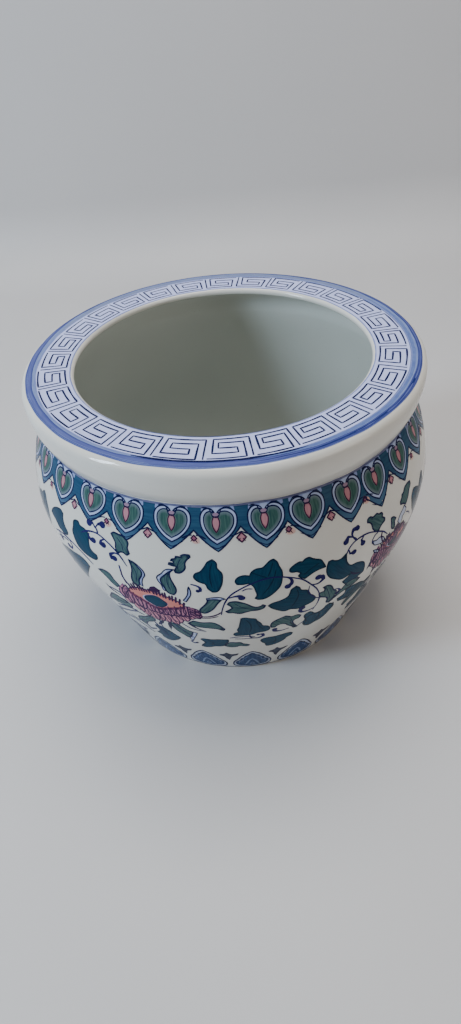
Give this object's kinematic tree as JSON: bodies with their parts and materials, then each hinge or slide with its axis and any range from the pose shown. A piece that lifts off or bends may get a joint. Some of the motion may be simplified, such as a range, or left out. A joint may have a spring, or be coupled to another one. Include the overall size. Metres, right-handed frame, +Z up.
{
  "type": "porcelain flowerpot",
  "caption": "Round porcelain flowerpot of fishbowl form, with a bare foot, a drained base, a swelling bowl and a flat painted brim with a rolled lip.",
  "frame": {"origin": "centre of the foot's flat face, on the surface the pot stands on", "axes": "+Z up along the pot's turning axis; -Y towards the side that the picture shows"},
  "size_m": [0.32, 0.32, 0.2465],
  "materials": {
    "white_glaze": "glossy clear glaze over white porcelain",
    "inner_glaze": "glossy pale grey-green glaze",
    "bare_foot": "unglazed, dry and slightly rough"
  },
  "bodies": {
    "root": {"foot_ring": "bare_foot", "floor_disc": "inner_glaze", "lower_bowl": "white_glaze", "upper_bowl": "white_glaze", "rim_ring": "white_glaze"}
  },
  "joints": []
}
